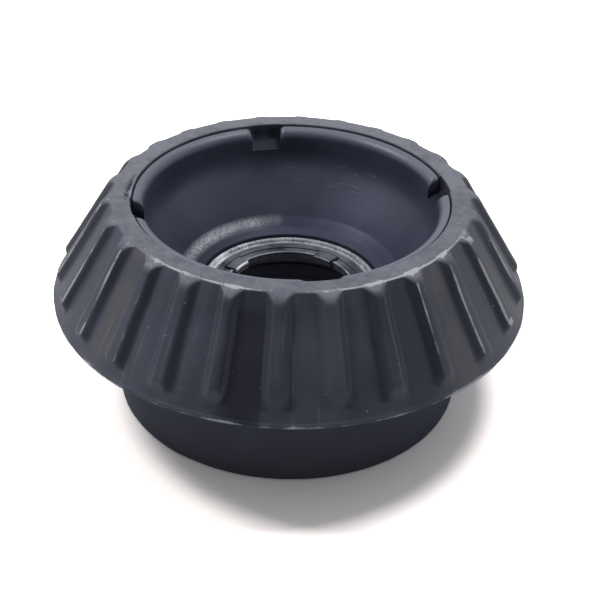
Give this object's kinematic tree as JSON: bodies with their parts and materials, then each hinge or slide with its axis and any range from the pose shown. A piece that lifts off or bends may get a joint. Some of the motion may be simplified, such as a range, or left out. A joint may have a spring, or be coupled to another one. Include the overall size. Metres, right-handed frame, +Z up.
{
  "type": "strut mount",
  "caption": "Conical ribbed rubber strut mount bonded to a notched steel cup, with a ball thrust bearing in its collar that lets the strut turn.",
  "frame": {"origin": "centre of the collar's bottom face, on the strut axis", "axes": "+Z up the strut axis, from the collar to the mouth of the cup; the middle of the first rib stands 4.9 degrees from +X towards +Y"},
  "size_m": [0.12, 0.12, 0.0542],
  "materials": {
    "rubber": "moulded, soft gloss",
    "cup_coat": "satin black coat",
    "bearing_case": "moulded black",
    "race_steel": "ground",
    "ball_steel": "polished",
    "cage_nylon": "natural nylon",
    "seal_rubber": "matt grey"
  },
  "bodies": {
    "mount": {"rubber_cone": "rubber", "strut_cup": "cup_coat", "bearing_upper_case": "bearing_case", "bearing_upper_race": "race_steel"},
    "ball_set": {"ball_cage": "cage_nylon", "bearing_ball_01": "ball_steel", "bearing_ball_02": "ball_steel", "bearing_ball_03": "ball_steel", "bearing_ball_04": "ball_steel", "bearing_ball_05": "ball_steel", "bearing_ball_06": "ball_steel", "bearing_ball_07": "ball_steel", "bearing_ball_08": "ball_steel", "bearing_ball_09": "ball_steel", "bearing_ball_10": "ball_steel", "bearing_ball_11": "ball_steel", "bearing_ball_12": "ball_steel", "bearing_ball_13": "ball_steel", "bearing_ball_14": "ball_steel", "bearing_ball_15": "ball_steel", "bearing_ball_16": "ball_steel", "bearing_ball_17": "ball_steel", "bearing_ball_18": "ball_steel", "bearing_ball_19": "ball_steel", "bearing_ball_20": "ball_steel", "bearing_ball_21": "ball_steel", "bearing_ball_22": "ball_steel"},
    "turntable": {"bearing_lower_case": "bearing_case", "bearing_lower_race": "race_steel", "inner_seal": "seal_rubber", "outer_seal": "seal_rubber"}
  },
  "joints": [
    {"name": "turntable_turn", "type": "hinge", "parent": "mount", "child": "turntable", "pos_m": [0, 0, 0.016], "axis": [0, 0, 1], "continuous": true},
    {"name": "ball_set_turn", "type": "hinge", "parent": "mount", "child": "ball_set", "pos_m": [0, 0, 0.016], "axis": [0, 0, 1], "continuous": true}
  ],
  "couplings": [
    {"joint": "ball_set_turn", "follows": "turntable_turn", "ratio": 0.5}
  ]
}
